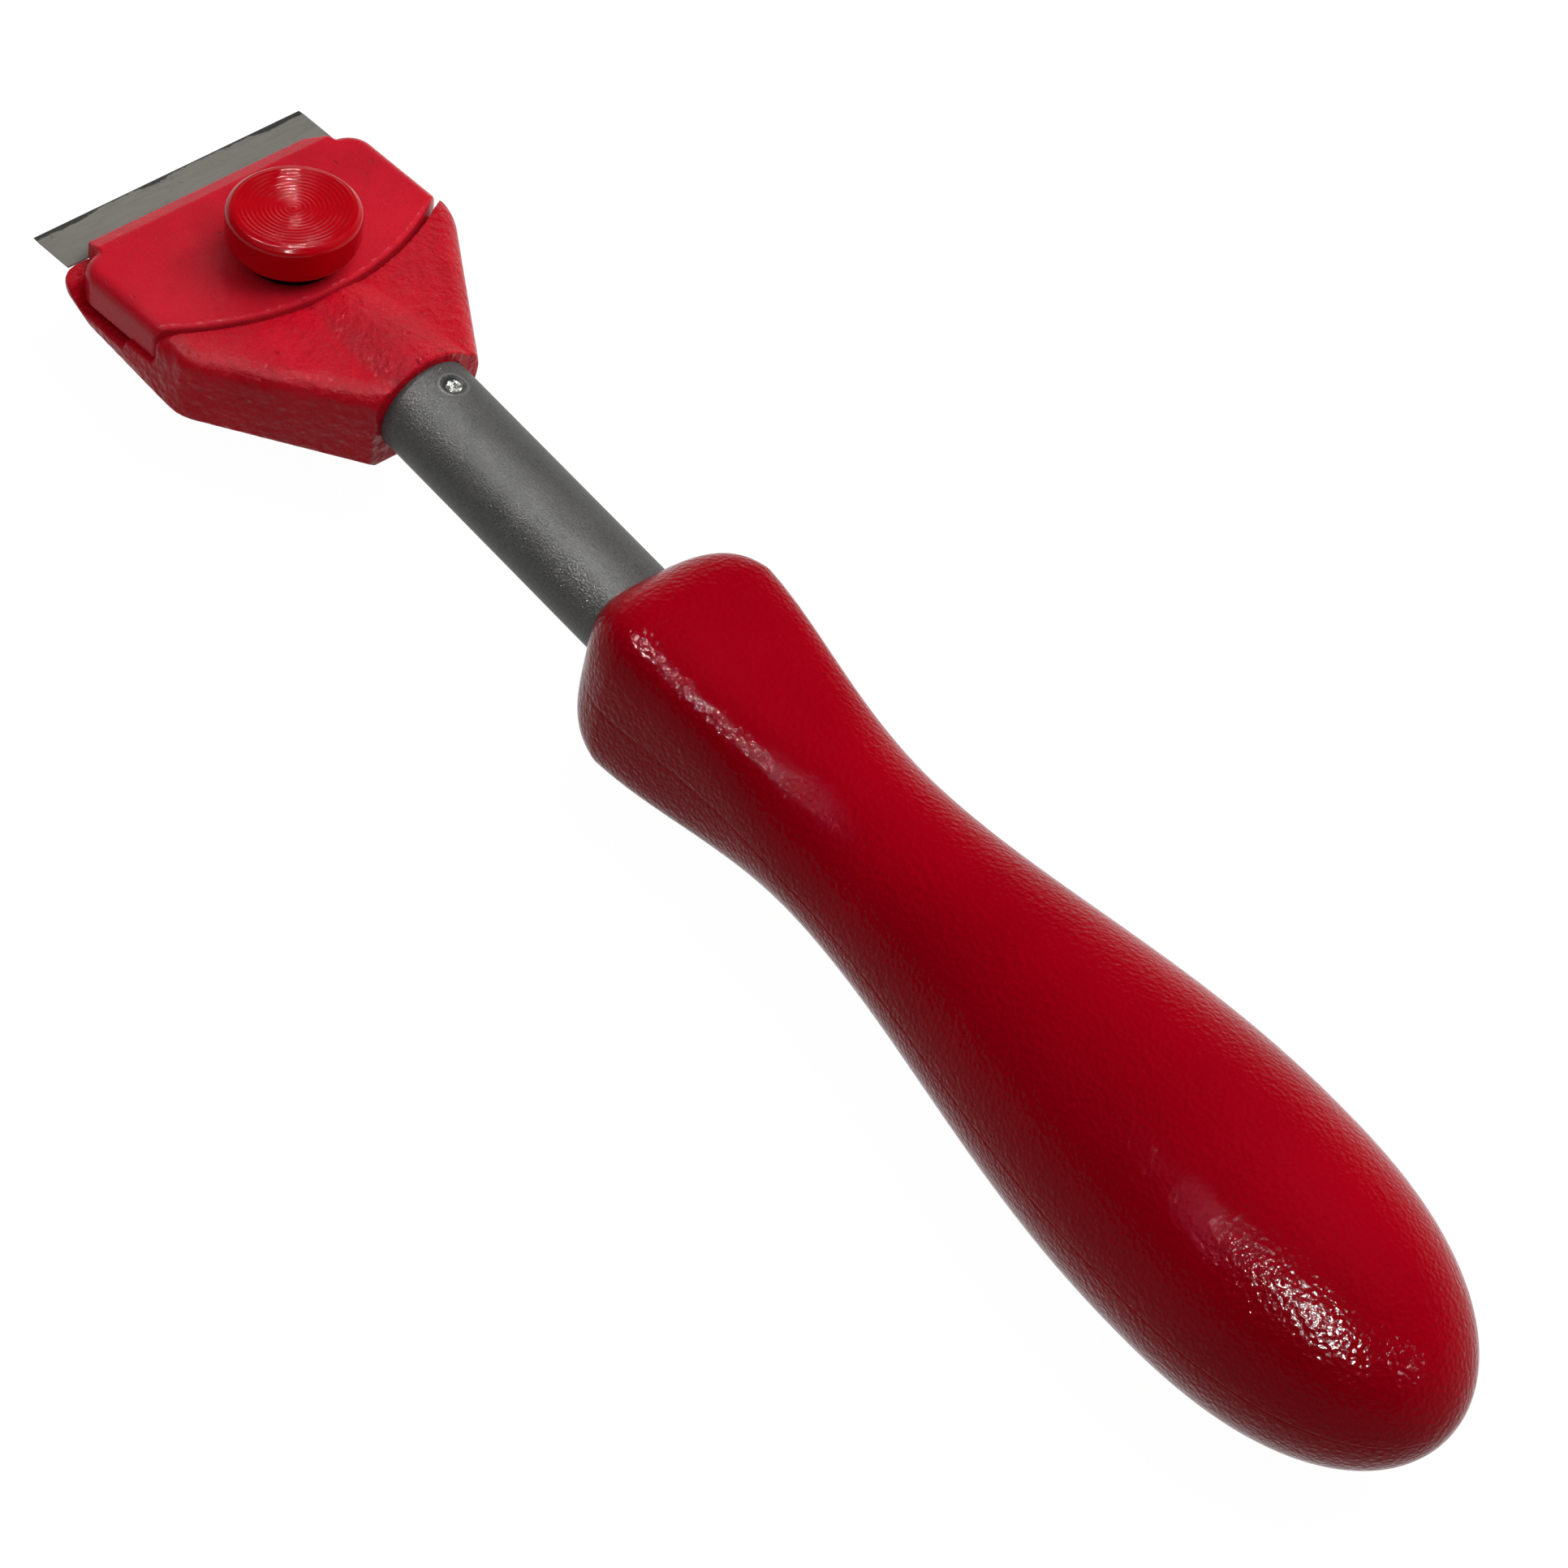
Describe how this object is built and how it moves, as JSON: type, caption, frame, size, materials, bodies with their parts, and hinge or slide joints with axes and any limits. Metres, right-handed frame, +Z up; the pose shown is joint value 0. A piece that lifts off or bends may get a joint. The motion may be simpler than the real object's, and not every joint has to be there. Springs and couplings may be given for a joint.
{
  "type": "razor blade scraper",
  "caption": "Hand scraper with a swelling grip handle, a steel tube and a tilted cast head whose knob-tightened clamp plate holds a replaceable single-edge blade.",
  "frame": {"origin": "centre of the bounding box in plan, at the height of the lowest point of the handle's bulb, with the tube level", "axes": "+X along the tube from the cutting edge to the butt, +Y along the cutting edge, +Z up through the clamp knob"},
  "size_m": [0.2186, 0.0426, 0.0339],
  "materials": {
    "blade_steel": "ground spring steel, dulled",
    "spine_steel": "rolled strip",
    "head_paint": "satin paint on a rough casting",
    "plate_paint": "satin paint on a casting",
    "knob_paint": "gloss lacquer over turning marks",
    "screw_steel": "plated",
    "washer_steel": "plated, dull",
    "tube_coat": "grey metallic stove enamel with a fine grain",
    "pin_steel": "bright",
    "handle_plastic": "moulded, faintly grained gloss"
  },
  "bodies": {
    "frame": {"head_base": "head_paint", "shaft_tube": "tube_coat", "tube_pin": "pin_steel", "handle_upper": "handle_plastic", "handle_lower": "handle_plastic"},
    "plate": {"clamp_plate": "plate_paint"},
    "knob": {"clamp_knob": "knob_paint", "clamp_screw": "screw_steel", "knob_washer": "washer_steel", "screw_ring": "screw_steel"},
    "blade": {"blade": "blade_steel", "blade_spine": "spine_steel"}
  },
  "joints": [
    {"name": "plate_lift", "type": "slide", "parent": "frame", "child": "plate", "axis": [-0.1409, 0, 0.99], "range_m": [0, 0.00205]},
    {"name": "knob_turn", "type": "hinge", "parent": "plate", "child": "knob", "pos_m": [-0.08678, 0, 0.01585], "axis": [-0.1409, 0, 0.99], "range_deg": [0, 900]},
    {"name": "blade_slide", "type": "slide", "parent": "frame", "child": "blade", "axis": [-0.99, 0, -0.1409], "range_m": [0, 0.0034]}
  ],
  "couplings": [
    {"joint": "plate_lift", "follows": "knob_turn", "m_per_rad": 0.00012732}
  ]
}
